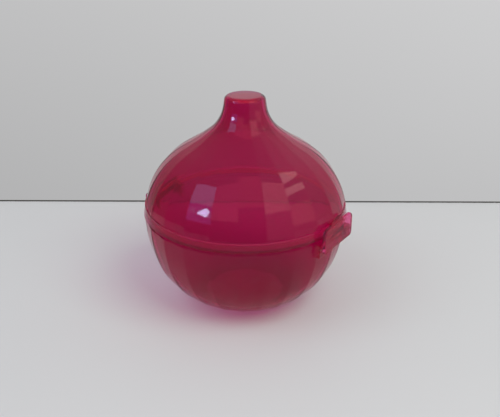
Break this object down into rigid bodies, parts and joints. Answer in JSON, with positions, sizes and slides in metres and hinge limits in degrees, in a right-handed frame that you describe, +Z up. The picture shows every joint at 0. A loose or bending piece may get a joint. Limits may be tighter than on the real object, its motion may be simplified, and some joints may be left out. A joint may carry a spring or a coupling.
{
  "type": "onion keeper",
  "caption": "Onion-shaped food keeper: a faceted translucent bowl with a hinged lid that snaps shut over half an onion.",
  "frame": {"origin": "centre of the foot's flat underside", "axes": "+Z up along the bowl's axis, latch towards -Y, hinge towards +Y, +X along the hinge bar to the right as seen from the latch"},
  "size_m": [0.104, 0.1133, 0.1085],
  "materials": {
    "raspberry_plastic": "gloss"
  },
  "bodies": {
    "bowl": {"bowl": "raspberry_plastic"},
    "lid": {"lid": "raspberry_plastic"}
  },
  "joints": [
    {"name": "lid_hinge", "type": "hinge", "parent": "bowl", "child": "lid", "pos_m": [0, 0.0553, 0.04594], "axis": [-1, 0, 0], "range_deg": [0, 110]}
  ]
}
